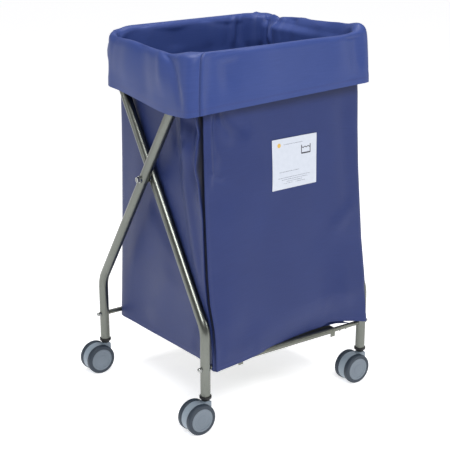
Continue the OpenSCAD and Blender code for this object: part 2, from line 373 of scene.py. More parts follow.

# %% [markdown]
# ## Coated cloth
# The bag is a deep blue woven cloth with a smooth coat on its face. Close to, it shows a fine
# weave, and slightly thicker threads run across it as faint streaks. The pattern follows the
# cloth, so it reads the piece's own UV map, which is drawn in metres. An attribute named
# `shade` paints shade into the colour: in the deepest creases, where light hardly reaches, in
# the valley of the cuff's corner seam, and in a band from under the cuff's hem upwards, where
# the cuff shades the walls.


# %% The bag's cloth
def cloth_finish(name, deep, pale, stitch_rows=()):
    finish = Finish(name, Sheen_Weight=0.05, Sheen_Roughness=0.4, Specular_IOR_Level=0.27)
    finish.shader.inputs["Sheen Tint"].default_value = (0.55, 0.65, 1.0, 1.0)
    where = place(finish, "UV")
    axes = finish.node("ShaderNodeSeparateXYZ", {}, {0: where})
    across, up = axes, Value(finish, axes.socket.node.outputs[1])
    cloud = noise(finish, where, 7, 3)
    slub = noise(finish, where, 60, 3, (0.35, 7, 1))
    mottle = noise(finish, where, 420, 2)
    warp = (across * 5200).maths("SINE")
    weft = (up * 5200).maths("SINE")
    weave = warp * weft * 0.5 + 0.5
    share = cloud * 0.34 + slub * 0.42 + mottle * 0.14 + weave * 0.10
    colour = mix(finish, tint(*deep), tint(*pale), share)
    shade = finish.node("ShaderNodeAttribute", {"attribute_name": "shade"}, out=2)
    colour = mix(finish, colour, tint(8, 10, 22), shade)
    height = weave * 0.5 + slub * 1.6 + mottle * 0.6
    for row in stitch_rows:
        near = (up - row).maths("ABSOLUTE") < 0.0007
        dash = near * ((across % 0.0042) < 0.003)
        colour = mix(finish, colour, tint(46, 56, 110), dash * 0.7)
        height = height - near * 2.0 + dash * 2.6
    relief = bump(finish, height, 0.28, 0.00035)
    gloss = 0.36 + slub * 0.1 + cloud * 0.06
    return finish.surface(Base_Color=colour, Roughness=gloss, Normal=relief)


# The cuff is the bag's own fabric turned over. Its lighter colours are painted light for the
# better-lit top of the bag, and the bag's darker colours are painted shade for the dimmer walls below.
bag_cloth = cloth_finish("bag_cloth", (26, 38, 84), (43, 58, 113), (0.008, 0.0105))
cuff_cloth_painted_lighter = cloth_finish("cuff_cloth_painted_lighter", (37, 54, 109), (58, 76, 136), (0.0125, 0.015))
print("cloth finishes:", bag_cloth.name, cuff_cloth_painted_lighter.name)

# %% [markdown]
# ## A sheet from a grid
# A bag hangs from its bars and a stiff coated cloth hardly stretches, so its shape is set by
# its outline at each height. A grid is added with an operator, and each of its points is
# moved to its place on the cloth by a formula, which is how a sculptor's pull would be
# written down. The UV map is redrawn in metres along the cloth. Solidify gives the thickness.


# %% Make a sheet from rows of points
CLOTH = 0.0009


def settle_sheet(name, points, across, up, thickness, closed, shade=None, inward=1.0):
    """A cloth sheet whose points[i, j] run across (i) and up (j)."""
    columns, rows = points.shape[:2]
    let_go()
    bpy.ops.mesh.primitive_grid_add(
        x_subdivisions=columns - 1, y_subdivisions=rows - 1, size=2
    )
    sheet = bpy.context.active_object
    sheet.name = sheet.data.name = name
    mesh = sheet.data
    flat = np.zeros(len(mesh.vertices) * 3)
    mesh.vertices.foreach_get("co", flat)
    flat = flat.reshape(-1, 3)
    i = np.rint((flat[:, 0] + 1) / 2 * (columns - 1)).astype(int)
    j = np.rint((flat[:, 1] + 1) / 2 * (rows - 1)).astype(int)
    mesh.vertices.foreach_set("co", points[i, j].astype(np.float32).ravel())
    corner_of = np.zeros(len(mesh.loops), int)
    mesh.loops.foreach_get("vertex_index", corner_of)
    uv = np.stack([across[i, j], up[i, j]], axis=1)[corner_of]
    mesh.uv_layers[0].data.foreach_set("uv", uv.astype(np.float32).ravel())
    dark = mesh.attributes.new("shade", "FLOAT", "POINT")
    amount = np.zeros(len(i)) if shade is None else shade[i, j]
    dark.data.foreach_set("value", amount.astype(np.float32))
    mesh.update()
    if closed:
        pick(sheet)
        bpy.ops.object.mode_set(mode="EDIT")
        bpy.ops.mesh.select_all(action="SELECT")
        bpy.ops.mesh.remove_doubles(threshold=1e-6)
        bpy.ops.object.mode_set(mode="OBJECT")
    apply_modifier(sheet, "SOLIDIFY", thickness=thickness, offset=-inward)
    pick(sheet)
    bpy.ops.object.shade_smooth_by_angle(angle=math.radians(65))
    print(name, "faces:", len(sheet.data.polygons))
    return sheet


def smooth_step(value, start, end):
    """0 before start, 1 after end, and a smooth way between; end may be the lower one."""
    share = np.clip((value - start) / (end - start), 0, 1)
    return share * share * (3 - 2 * share)


# %% [markdown]
# ## The bag's outline
# The body is a box of cloth, narrower at the top from front to back. Its corners aren't
# sharp: the outline at each height is a four-cornered path whose corners are rounded by
# averaging it over a short window, wide at the rear, where the cloth turns softly, and narrow
# at the front, most of all at the front-left, where the cloth is folded in on itself. The
# front-left corner goes in front of one leg, and the front-right corner passes over the other.

# %% Corner places by height
HEIGHTS = [0.150, 0.200, 0.265, 0.330, 0.400, 0.500, 0.600, 0.700, 0.790, 0.850, 0.900, 0.936]
FRONT_LEFT = {
    "x": [
        -0.2215, -0.2225, -0.2262, -0.2330, -0.2345, -0.2358, -0.2368, -0.2368, -0.2362, -0.2370,
        -0.2340, -0.2300,
    ],
    "y": [
        -0.2400, -0.2395, -0.2370, -0.2290, -0.2225, -0.2180, -0.2145, -0.2110, -0.2080, -0.2062,
        -0.2058, -0.2056,
    ],
}
FRONT_RIGHT = {
    "x": [
        0.2720, 0.2710, 0.2690, 0.2665, 0.2630, 0.2570, 0.2500, 0.2470, 0.2460, 0.2420, 0.2300,
        0.2200,
    ],
    "y": [
        -0.2485, -0.2460, -0.2405, -0.2310, -0.2225, -0.2175, -0.2140, -0.2105, -0.2080, -0.2062,
        -0.2058, -0.2056,
    ],
}
REAR_RIGHT = {
    "x": [
        0.2215, 0.2225, 0.2255, 0.2280, 0.2300, 0.2320, 0.2340, 0.2350, 0.2350, 0.2360, 0.2340,
        0.2300,
    ],
    "y": [
        0.2340, 0.2330, 0.2310, 0.2270, 0.2225, 0.2180, 0.2145, 0.2110, 0.2080, 0.2062, 0.2058,
        0.2056,
    ],
}
REAR_LEFT = {
    "x": [
        -0.2230, -0.2210, -0.2195, -0.2180, -0.2170, -0.2170, -0.2175, -0.2190, -0.2210, -0.2240,
        -0.2240, -0.2180,
    ],
    "y": [
        0.2295, 0.2285, 0.2260, 0.2235, 0.2205, 0.2160, 0.2115, 0.2070, 0.2035, 0.2030, 0.2035,
        0.2040,
    ],
}
ROUND = [0.030, 0.035, 0.004, 0.008]
print("heights:", len(HEIGHTS), "from", HEIGHTS[0], "to", HEIGHTS[-1])


# %% The outline at one height
def corner_path(height):
    """The four corners, rear right first and then anticlockwise seen from above."""
    corners = [REAR_RIGHT, REAR_LEFT, FRONT_LEFT, FRONT_RIGHT]
    return np.array(
        [[np.interp(height, HEIGHTS, c[axis]) for axis in ("x", "y")] for c in corners]
    )


def rounded(corners, windows, sides):
    """A path round the corners, with each rounded by the mean over its own window."""
    fine = 400
    ring = np.concatenate([corners, corners[:1]])
    fine_steps = np.linspace(0, 1, fine, False)[:, None]
    path = np.concatenate([ring[k] + (ring[k + 1] - ring[k]) * fine_steps for k in range(4)])
    path = np.concatenate([path, path, path, path[:1]])
    summed = np.concatenate([[[0, 0]], np.cumsum((path[1:] + path[:-1]) / 2, axis=0)])
    lengths = [float(np.linalg.norm(ring[k + 1] - ring[k])) for k in range(4)]
    steps = np.arange(len(path))
    out = []
    for k, side in enumerate(sides):
        at = (4 + k) * fine + side * fine
        width = np.interp(side, [0, 0.5, 1], [windows[k], 0.02, windows[(k + 1) % 4]])
        reach = width / lengths[k] * fine
        ends = [
            np.stack([np.interp(at + s * reach, steps, summed[:, a]) for a in (0, 1)], 1)
            for s in (-1, 1)
        ]
        out.append((ends[1] - ends[0]) / (2 * reach)[:, None])
    return np.concatenate(out)


def evenly(count):
    """Equal steps along one side, without its far end."""
    return np.linspace(0, 1, count, False)


near_end = np.concatenate([np.linspace(0, 0.93, 60, False), np.linspace(0.93, 1, 22, False)])
near_start = np.concatenate([np.linspace(0, 0.07, 22, False), np.linspace(0.07, 1, 66, False)])
SIDES = [evenly(58), near_end, near_start, evenly(58)]
print("columns:", sum(len(side) for side in SIDES))

# %% [markdown]
# ## Folds
# Each fold is a soft ridge or groove along a line on one side of the bag: where it starts
# and ends, how wide it is and how high. A few dozen of them, with broad slow waves under
# them, give the cloth its life. They are listed as data, so that one can be moved or made
# deeper without touching the rest.

# %% Fold shapes
# side, from (place, height), to (place, height), width, rise
WALL_FOLDS = [
    ("front", -0.2140, 0.830, -0.2140, 0.620, 0.0075, 0.0065),
    ("front", -0.1990, 0.830, -0.1930, 0.690, 0.0070, -0.0060),
    ("front", -0.1850, 0.830, -0.2020, 0.640, 0.0090, 0.0040),
    ("front", -0.2150, 0.655, -0.1760, 0.632, 0.0050, 0.0035),
    ("front", -0.2100, 0.805, -0.1500, 0.715, 0.0130, 0.0050),
    ("front", -0.1850, 0.800, -0.1050, 0.730, 0.0170, -0.0045),
    ("front", 0.2350, 0.500, 0.1600, 0.440, 0.0220, 0.0030),
    ("front", -0.1500, 0.830, -0.0200, 0.560, 0.0450, 0.0040),
    ("front", 0.0600, 0.800, 0.1600, 0.300, 0.0700, -0.0025),
    ("front", -0.1600, 0.560, -0.0900, 0.240, 0.0500, 0.0022),
    ("front", 0.1900, 0.780, 0.2200, 0.450, 0.0250, -0.0030),
    ("front", 0.1200, 0.420, 0.2300, 0.200, 0.0350, 0.0025),
    ("front", -0.1900, 0.200, -0.1000, 0.190, 0.0250, 0.0020),
    ("left", -0.1960, 0.830, -0.2060, 0.560, 0.0150, 0.0085),
    ("left", -0.1560, 0.830, -0.1850, 0.600, 0.0150, -0.0090),
    ("left", -0.1200, 0.830, -0.1450, 0.620, 0.0180, 0.0070),
    ("left", -0.0800, 0.830, -0.1000, 0.680, 0.0180, -0.0055),
    ("left", -0.1300, 0.640, -0.2000, 0.360, 0.0160, 0.0050),
    ("left", -0.1450, 0.715, -0.2280, 0.650, 0.0280, 0.0080),
    ("left", -0.1250, 0.770, -0.2200, 0.745, 0.0160, -0.0050),
    ("left", 0.0300, 0.520, -0.0900, 0.420, 0.0300, -0.0055),
    ("left", 0.0800, 0.700, 0.1500, 0.250, 0.0400, 0.0030),
    ("left", -0.0500, 0.360, 0.0600, 0.190, 0.0400, 0.0030),
    ("left", -0.1900, 0.260, -0.1500, 0.180, 0.0140, -0.0030),
    ("rear", -0.1400, 0.800, -0.0600, 0.420, 0.0450, 0.0030),
    ("rear", 0.0900, 0.780, 0.1500, 0.350, 0.0500, -0.0028),
    ("rear", 0.2060, 0.930, 0.2000, 0.620, 0.0075, 0.0070),
    ("rear", 0.1860, 0.930, 0.1820, 0.640, 0.0070, -0.0055),
    ("rear", 0.1600, 0.930, 0.1550, 0.640, 0.0100, 0.0045),
    ("rear", 0.1000, 0.930, 0.0900, 0.560, 0.0260, -0.0035),
    ("rear", -0.0200, 0.930, -0.0100, 0.520, 0.0350, 0.0035),
    ("right", 0.1960, 0.930, 0.1900, 0.600, 0.0070, 0.0075),
    ("right", 0.1760, 0.930, 0.1720, 0.620, 0.0065, -0.0065),
    ("right", 0.1580, 0.930, 0.1520, 0.600, 0.0065, 0.0060),
    ("right", 0.1280, 0.930, 0.1200, 0.600, 0.0100, -0.0050),
    ("right", 0.0750, 0.930, 0.0600, 0.560, 0.0200, 0.0045),
    ("right", -0.0800, 0.700, -0.1500, 0.260, 0.0400, 0.0030),
    ("right", 0.0500, 0.420, -0.0500, 0.200, 0.0400, 0.0025),
]
SIDE_ORDER = ("rear", "left", "front", "right")


def fold_rise(spot, height, start, end, width, rise):
    """How far a fold lifts the cloth at each place and height on its side."""
    a, b = np.array(start), np.array(end)
    along = b - a
    length = np.hypot(*along)
    px, pz = spot - a[0], height - a[1]
    share = (px * along[0] + pz * along[1]) / length**2
    off = (px * along[1] - pz * along[0]) / length
    fade = smooth_step(share, -0.12, 0.12) * (1 - smooth_step(share, 0.72, 1.1))
    return rise * fade * np.exp(-((off / width) ** 2))


def slow_waves(around, height, seed, size):
    """Broad waves that never quite repeat, the same on every run."""
    turn = np.random.default_rng(seed).uniform(0, 2 * math.pi, 8)
    total = 0
    for k in range(4):
        sway = 1.5 * np.sin(height * 6 + turn[k + 4])
        total = total + np.sin(around * (9 + 7 * k) + turn[k] + sway)
    return total * size / 4


print("folds:", len(WALL_FOLDS))

# %% [markdown]
# ## Keeping cloth off the tubes
# The bent tubes press into the cloth here and there. Each tube is known by its centre line,
# so the cloth can be slid clear of it along a chosen direction, by just as much as it needs.
# A little blur of that slide gives the soft shoulders that a taut cloth has over a bar.

# %% The tubes' centre lines
TUBE_R, TUBE_END_H = 0.0127, 0.087
LEG_Y, KNEE_H, TOP_H, PIVOT_H, BEND_R, KNEE_R = 0.2245, 0.265, 0.927, 0.6, 0.075, 0.075
LEAN = math.atan(LEG_Y / (PIVOT_H - KNEE_H))


def frame_line(node, turn):
    """The centre line of a bent frame: up one leg, along the top bar, down the other."""
    low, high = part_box(node)
    middle, half = (low.x + high.x) / 2, (high.x - low.x) / 2 - TUBE_R
    slope = (TOP_H - KNEE_H) / math.cos(LEAN)
    side = [(half, -KNEE_R), (half, 0.0)]
    side += [(half, step) for step in np.linspace(0.05, slope - BEND_R, 6)]
    for angle in np.linspace(0, math.pi / 2, 9)[1:]:
        side.append(
            (half - BEND_R * (1 - math.cos(angle)), slope - BEND_R * (1 - math.sin(angle)))
        )
    path = side + [(-x, s) for x, s in reversed(side)]
    points = []
    for x, s in path:
        rise = min(s, 0) + max(s, 0) * math.cos(LEAN)
        back = -max(s, 0) * math.sin(LEAN)
        points.append((middle + x, turn * (LEG_Y + back), KNEE_H + rise))
    points[0] = (points[0][0], points[0][1], TUBE_END_H)
    points[-1] = (points[-1][0], points[-1][1], TUBE_END_H)
    return np.array(points)


LINES = [frame_line("rear_leg_frame", 1), frame_line("front_leg_frame", -1)]
print("top bars at:", [[round(c, 4) for c in line[len(line) // 2]] for line in LINES])


# %% Slide points clear of the tubes
def slide_clear(points, direction, gap, blur=2):
    """Move points along direction until they clear the tubes; direction None means straight out."""
    shape = points.shape[:-1]
    flat = points.reshape(-1, 3)
    for line in LINES:
        best = np.full(len(flat), np.inf)
        off = np.zeros_like(flat)
        along = np.zeros_like(flat)
        for a, b in zip(line[:-1], line[1:]):
            run = b - a
            share = np.clip(((flat - a) @ run) / (run @ run), 0, 1)
            away = flat - a - share[:, None] * run
            far = np.linalg.norm(away, axis=1)
            nearer = far < best
            best[nearer], off[nearer] = far[nearer], away[nearer]
            along[nearer] = run / np.linalg.norm(run)
        need = TUBE_R + gap
        inside = best < need
        if direction is None:
            move = np.where(inside, need - best, 0)
            way = off / np.maximum(best, 1e-6)[:, None]
        else:
            way = direction.reshape(-1, 3)
            across = way - (way * along).sum(1)[:, None] * along
            size = (across**2).sum(1)
            half = (off * across).sum(1)
            root = half**2 - size * (best**2 - need**2)
            reach = (np.sqrt(np.maximum(root, 0)) - half) / np.maximum(size, 0.05)
            move = np.where(inside, reach, 0)
        field = move.reshape(shape)
        soft = field.copy()
        for _ in range(blur):
            soft = (
                soft * 2
                + np.roll(soft, 1, 0)
                + np.roll(soft, -1, 0)
                + np.concatenate([soft[:, 1:], soft[:, -1:]], 1)
                + np.concatenate([soft[:, :1], soft[:, :-1]], 1)
            ) / 6
            soft = np.maximum(soft, field)
        flat = flat + way * soft.reshape(-1, 1)
        print("slid", int(inside.sum()), "points, most", round(float(move.max()) * 1000, 1), "mm")
    return flat.reshape(points.shape)


def length_along(path):
    """How far along a path each of its points lies."""
    return np.concatenate([[0], np.cumsum(np.linalg.norm(np.diff(path, axis=0), axis=1))])


def ease_round(values, times, weight):
    """Blend each column's value with its two neighbours' on a closed ring."""
    for _ in range(times):
        loop = values[:-1]
        values[:-1] = (np.roll(loop, 1) + loop * weight + np.roll(loop, -1)) / (weight + 2)
    values[-1] = values[0]
    return values


def ring_normals(points):
    """The outward direction, level with the floor, at each point of closed rings."""
    loop = points[:-1]
    run = np.roll(loop, -1, 0) - np.roll(loop, 1, 0)
    out = np.stack([run[..., 1], -run[..., 0], np.zeros(run.shape[:-1])], -1)
    out = out / np.maximum(np.linalg.norm(out, axis=-1, keepdims=True), 1e-9)
    return np.concatenate([out, out[:1]])


# %% [markdown]
# ## The bag's walls
# The four walls are one sheet that runs round the bag. The top edge hides behind the
# turned-over cuff, and the bottom edge hangs a little below the shelf, lower at the front-left
# and lifted in an arch at the front-right, where the shelf's end shows. A deep narrow
# crease runs down the front-left corner from under the cuff to the bottom.

# %% Shape the walls
LEVELS = np.linspace(0.14, 0.94, 101)
FRONT_EDGE = (
    [-0.222, -0.215, -0.165, -0.120, -0.082, -0.025, 0.040, 0.090, 0.146, 0.161, 0.190, 0.228, 0.268],
    [
        0.1530, 0.1525, 0.1555, 0.1590, 0.1640, 0.1715, 0.1735, 0.1750, 0.1770, 0.1860, 0.1820,
        0.1780, 0.1720,
    ],
)
LEFT_EDGE = (
    [-0.240, -0.200, -0.169, -0.129, -0.035, 0.063, 0.140, 0.207],
    [0.153, 0.161, 0.167, 0.165, 0.162, 0.158, 0.156, 0.153],
)
RIGHT_EDGE = ([-0.247, -0.200, -0.100, 0.050, 0.234], [0.172, 0.178, 0.170, 0.165, 0.154])
REAR_EDGE = ([-0.223, -0.100, 0.100, 0.222], [0.153, 0.165, 0.163, 0.154])
FRONT_TUCK = (
    [-0.222, -0.150, -0.080, -0.025, 0.040, 0.090, 0.150, 0.190, 0.228, 0.268],
    [-0.2385, -0.236, -0.234, -0.226, -0.218, -0.214, -0.214, -0.2195, -0.233, -0.2485],
)
FRONT_MIDDLE = (
    [0.15, 0.17, 0.25, 0.40, 0.60, 0.80, 0.945],
    [-0.234, -0.233, -0.228, -0.221, -0.214, -0.208, -0.2056],
)

base = np.stack([rounded(corner_path(z), ROUND, SIDES) for z in LEVELS], axis=1)
base = np.concatenate([base, base[:1]])
side_of = np.concatenate([np.full(len(side), k) for k, side in enumerate(SIDES)] + [[0]])
edges = [REAR_EDGE, LEFT_EDGE, FRONT_EDGE, RIGHT_EDGE]
spot = np.where(np.isin(side_of, (0, 2)), base[:, 4, 0], base[:, 4, 1])
low_edge = np.array([np.interp(spot[i], *edges[k]) for i, k in enumerate(side_of)])
low_edge = ease_round(low_edge, 2, 2)
side_height = ease_round(np.where(np.isin(side_of, (0, 2)), 0.905, 0.868), 60, 1)
print("bottom edge from", round(low_edge.min(), 4), "to", round(low_edge.max(), 4))

# %% Raise the walls from their outline
WALL_ROWS, WALL_DEPTH = 112, 0.735
share = np.linspace(0, 1, WALL_ROWS)[None, :]
height = low_edge[:, None] + (side_height - low_edge)[:, None] * share
place_in = np.clip((height - LEVELS[0]) / (LEVELS[1] - LEVELS[0]), 0, len(LEVELS) - 1.001)
step = place_in.astype(int)
part = (place_in - step)[..., None]
rows = np.arange(len(base))[:, None]
plan = base[rows, step] * (1 - part) + base[rows, step + 1] * part
walls = np.concatenate([plan, height[..., None]], axis=-1)

front = (side_of == 2)[:, None]
flatness = smooth_step(0.2 - np.abs(walls[..., 0] - 0.01), 0.0, 0.09)
middle = np.interp(walls[..., 2], *FRONT_MIDDLE)
walls[..., 1] += np.where(front, (middle - walls[..., 1]) * flatness, 0)
tuck = 1 - smooth_step(walls[..., 2], low_edge[:, None] + 0.004, low_edge[:, None] + 0.095)
target = np.interp(walls[..., 0], *FRONT_TUCK)
walls[..., 1] += np.where(front, (target - walls[..., 1]) * tuck, 0)

out = ring_normals(walls)
lift = slow_waves(walls[..., 0] + walls[..., 1] * 1.3, walls[..., 2], 7, 0.0016)
for side, x0, z0, x1, z1, width, rise in WALL_FOLDS:
    where = walls[..., 0] if side in ("front", "rear") else walls[..., 1]
    on = (side_of == SIDE_ORDER.index(side))[:, None]
    lift = lift + on * fold_rise(where, walls[..., 2], (x0, z0), (x1, z1), width, rise)
lift[-1] = lift[0]
quiet = smooth_step(walls[..., 2], low_edge[:, None], low_edge[:, None] + 0.03)
behind = smooth_step(walls[..., 2], 0.832, 0.862) * 0.0035
walls = walls + out * (lift * quiet + behind)[..., None]

# the crease down the front-left corner
corner_column = len(SIDES[0]) + len(SIDES[1])
run = length_along(walls[:, 60, :2])
from_corner = (run - run[corner_column])[:, None]
groove = np.exp(-np.abs(from_corner / 0.0034) ** 2.6)
lips = np.exp(-(((np.abs(from_corner) - 0.0085) / 0.0055) ** 2))
deep = 0.0105 * (1 - 0.55 * (1 - smooth_step(walls[..., 2], 0.17, 0.24)))
inwards = np.array([0.66, 0.75, 0.0])
walls = walls + (groove * deep)[..., None] * inwards - (lips * 0.0012)[..., None] * inwards
crease_shade = groove * (0.35 + 0.65 * smooth_step(walls[..., 2], 0.16, 0.3)) * 0.95
# painted shadow: the walls' colour darkens from just under the cuff's hem upwards, where the cuff
# shades them
under_cuff_shadow = smooth_step(walls[..., 2], 0.775, 0.81) * 0.35
walls = slide_clear(walls, -out, 0.0007, 3)
walls[-1] = walls[0]
print("walls:", walls.shape, "deepest crease", round(float(deep.max()) * 1000, 1), "mm")

# %% Make the walls
across = np.repeat(run[:, None], WALL_ROWS, 1)
up = walls[..., 2] - low_edge[:, None]
shade = np.clip(crease_shade + under_cuff_shadow, 0, 1)
bag_walls = settle_sheet("bag_walls", walls, across, up, CLOTH, True, shade)
bag_walls.data.materials.append(bag_cloth)
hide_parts("bag_front_panel", "bag_rear_panel", "bag_left_panel", "bag_right_panel")

# %% [markdown]
# ## The bag's floor
# Inside, the bag ends in a floor of the same cloth. It lies on the steel shelf and on the
# two crossbars, and sags a little beyond the shelf's sides, where nothing holds it up. Its
# border meets the walls just inside their bottom edge, where it's sewn on. On the right and at
# the front it's drawn in between the legs, because these swing inwards when the cart folds.

# %% Shape the floor
SHELF_LOW, SHELF_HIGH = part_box("shelf")
floor_columns, floor_rows = 90, 84


def wall_ring_at(level):
    """The walls' inner outline a given height above their bottom edge."""
    row = int(level / WALL_DEPTH * WALL_ROWS)
    return walls[:-1, row] - ring_normals(walls)[:-1, row] * 0.0014


border = wall_ring_at(0.007)
s_across = np.linspace(-1, 1, floor_columns)[:, None]
s_back = np.linspace(-1, 1, floor_rows)[None, :]
starts = np.cumsum([0] + [len(side) for side in SIDES])
rear, left, front_row, right = [
    np.concatenate([border, border[:1]])[starts[k] : starts[k + 1] + 1] for k in range(4)
]


def draw_in(path):
    """The outline with its far corners drawn in between the legs."""
    path = path.copy()
    path[:, 0] = np.where(path[:, 0] > 0.19, 0.19 + (path[:, 0] - 0.19) * 0.39, path[:, 0])
    path[:, 1] = np.where(path[:, 1] < -0.2, -0.2 + (path[:, 1] + 0.2) * 0.66, path[:, 1])
    return path


def along(path, share):
    """Points at equal shares of the way along a path."""
    far = length_along(path)
    return np.stack([np.interp(share * far[-1], far, path[:, k]) for k in range(3)], -1)


u, v = (s_across + 1) / 2, (s_back + 1) / 2
rear, left, front_row, right = [draw_in(path) for path in (rear, left, front_row, right)]
front_line, rear_line = along(front_row, u[:, 0]), along(rear, 1 - u[:, 0])
left_line, right_line = along(left, 1 - v[0]), along(right, v[0])
floor_points = (
    front_line[:, None] * (1 - v)[..., None]
    + rear_line[:, None] * v[..., None]
    + left_line[None] * (1 - u)[..., None]
    + right_line[None] * u[..., None]
)
for cu, cv, point in (
    (1 - u, 1 - v, front_line[0]),
    (u, 1 - v, front_line[-1]),
    (1 - u, v, rear_line[0]),
    (u, v, rear_line[-1]),
):
    floor_points = floor_points - (cu * cv)[..., None] * point
rest = SHELF_HIGH.z + 0.0012
over_side = np.maximum(SHELF_LOW.x - floor_points[..., 0], floor_points[..., 0] - SHELF_HIGH.x)
over_end = np.abs(floor_points[..., 1]) - LEG_Y
droop = np.maximum(
    smooth_step(over_side, 0.002, 0.075), smooth_step(over_end, 0.0075, 0.020)
)
sag = slow_waves(floor_points[..., 0] * 2, floor_points[..., 1], 11, 0.0006)
over_bar = smooth_step(0.016 - np.abs(over_end), 0, 0.006)
free = rest * (1 - droop) + np.minimum(floor_points[..., 2], rest) * droop + sag * droop
floor_points[..., 2] = np.maximum(free, rest * over_bar)
floor_heights = floor_points[..., 2]
print("floor from", round(float(floor_heights.min()), 4), "to", round(float(floor_heights.max()), 4))

# %% Make the floor
across, up = floor_points[..., 0], floor_points[..., 1] + 0.3
floor_sheet = settle_sheet(
    "bag_floor_cloth", floor_points, across, up, CLOTH, False, inward=-1.0
)
floor_sheet.data.materials.append(bag_cloth)
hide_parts("bag_floor")

# %% [markdown]
# ## The turned-over cuff
# The top of the bag is turned outwards over the two top bars and hangs down outside as a
# deep cuff with a hem. Over a bar the cloth is a snug round roll. Between the two frames, on
# the left and right, nothing holds it up, so it makes a softer arch that dips in the middle.
# The cuff is made as one ring from its hem up, over the roll and down inside to a lining.
# The ring is cut into a front half and a rear half, which meet in the middle of each side.

# %% Outlines and profiles of the cuff
OUTER = np.array([[0.2880, 0.2405], [-0.2545, 0.2365], [-0.2880, -0.2405], [0.2600, -0.2395]])
INNER = np.array([[0.2325, 0.2038], [-0.2250, 0.2038], [-0.2325, -0.2038], [0.2320, -0.2038]])
OUTER_ROUND = [0.045, 0.100, 0.026, 0.030]
INNER_ROUND = [0.040, 0.040, 0.040, 0.040]
# share of the way from the outer to the inner outline, and height
OVER_BAR = [
    (0.000, 0.812), (0.055, 0.872), (0.150, 0.9235), (0.285, 0.9378), (0.572, 0.9428),
    (0.860, 0.9375), (0.973, 0.9240), (0.990, 0.872), (1.0, 0.815),
]
HANGING = [
    (0.070, 0.800), (0.000, 0.868), (0.054, 0.905), (0.160, 0.9240), (0.338, 0.9315),
    (0.508, 0.9255), (0.660, 0.909), (0.900, 0.868), (1.0, 0.812),
]
HEM = {
    "front": ([-0.288, -0.24, 0.26], [0.8010, 0.8035, 0.8215]),
    "left": (
        [-0.240, -0.146, -0.058, 0.010, 0.057, 0.091, 0.118, 0.240],
        [0.800, 0.791, 0.794, 0.796, 0.798, 0.799, 0.800, 0.802],
    ),
    "rear": ([-0.260, 0.288], [0.808, 0.806]),
    "right": ([-0.240, 0.0, 0.240], [0.8215, 0.804, 0.806]),
}
RIM_LIFT = {
    "front": ([-0.26, 0.19, 0.235, 0.26], [0.0, 0.0, 0.006, 0.018]),
    "left": ([-0.24, 0.14, 0.236], [0.0, 0.0, -0.009]),
    "rear": (
        [-0.254, -0.16, -0.05, 0.0, 0.10, 0.178, 0.22, 0.257, 0.288],
        [-0.009, -0.003, -0.003, -0.0035, -0.0065, -0.006, -0.0005, -0.004, -0.004],
    ),
    "right": (
        [-0.24, -0.18, -0.12, -0.066, -0.02, 0.03, 0.10, 0.17, 0.24],
        [0.021, 0.022, 0.0235, 0.018, 0.014, 0.012, 0.009, 0.000, -0.004],
    ),
}
front_steps = np.concatenate([np.linspace(0, 0.06, 18, False), np.linspace(0.06, 1, 68, False)])
cuff_sides = [evenly(64), evenly(78), front_steps, evenly(72)]
cuff_side_of = np.concatenate([np.full(len(s), k) for k, s in enumerate(cuff_sides)] + [[0]])
outer_ring = rounded(OUTER, OUTER_ROUND, cuff_sides)
inner_ring = rounded(INNER, INNER_ROUND, cuff_sides)
outer_ring = np.concatenate([outer_ring, outer_ring[:1]])
inner_ring = np.concatenate([inner_ring, inner_ring[:1]])
print("cuff columns:", len(outer_ring))


# %% Shape the cuff
def through(knots, count):
    """A smooth curve through rows of control values, sampled evenly by length."""
    fine = []
    padded = np.concatenate([2 * knots[:1] - knots[1:2], knots, 2 * knots[-1:] - knots[-2:-1]])
    t = np.linspace(0, 1, 12, False)[:, None, None]
    for k in range(1, len(padded) - 2):
        a, b, c, d = padded[k - 1 : k + 3]
        square, cube = 2 * a - 5 * b + 4 * c - d, 3 * b - a - 3 * c + d
        fine.append(0.5 * (2 * b + (c - a) * t + square * t**2 + cube * t**3))
    fine = np.concatenate(fine + [knots[-1:]])
    steps = np.linspace(0, len(fine) - 1, count)
    low = np.clip(steps.astype(int), 0, len(fine) - 2)
    part = (steps - low)[:, None, None]
    return fine[low] * (1 - part) + fine[low + 1] * part


def by_side(table, ring):
    """A value for each column from a table for each side."""
    names = [SIDE_ORDER[k] for k in cuff_side_of]
    out = []
    for k, name in enumerate(names):
        at = ring[k, 0] if name in ("front", "rear") else ring[k, 1]
        entry = table[name]
        out.append(np.interp(at, *entry) if isinstance(entry, tuple) else entry)
    return ease_round(np.array(out), 6, 2)


CUFF_ROWS = 72
free_span = np.isin(cuff_side_of, (1, 3)) * smooth_step(0.238 - np.abs(outer_ring[:, 1]), 0.012, 0.10)
free_span[-1] = free_span[0]
bar = np.array(OVER_BAR)[:, None, :]
hang = np.array(HANGING)[:, None, :]
knots = bar * (1 - free_span[None, :, None]) + hang * free_span[None, :, None]
hem_height = by_side(HEM, outer_ring)
knots[0, :, 1] = hem_height
knots[1, :, 1] += (hem_height - 0.812) * 0.3
lift_by = by_side(RIM_LIFT, outer_ring)
knots[2:7, :, 1] += lift_by[None] * np.array([0.6, 0.9, 1.0, 0.9, 0.7])[:, None]
profile = through(knots, CUFF_ROWS).transpose(1, 0, 2)
belly = np.zeros(len(outer_ring))
belly += (cuff_side_of == 1) * 0.0085 * np.exp(-(((outer_ring[:, 1] + 0.10) / 0.11) ** 2))
belly += (cuff_side_of == 3) * 0.0085 * np.exp(-(((outer_ring[:, 1] - 0.10) / 0.11) ** 2))
outer_wide = np.concatenate([outer_ring, np.zeros((len(outer_ring), 1))], 1)
ring_out = ring_normals(outer_wide[:, None, :])[:, 0]
outer_wide = (outer_wide + ring_out * belly[:, None])[:, :2]
share = profile[..., :1]
flat_place = outer_wide[:, None] * (1 - share) + inner_ring[:, None] * share
cuff = np.concatenate([flat_place, profile[..., 1:]], -1)
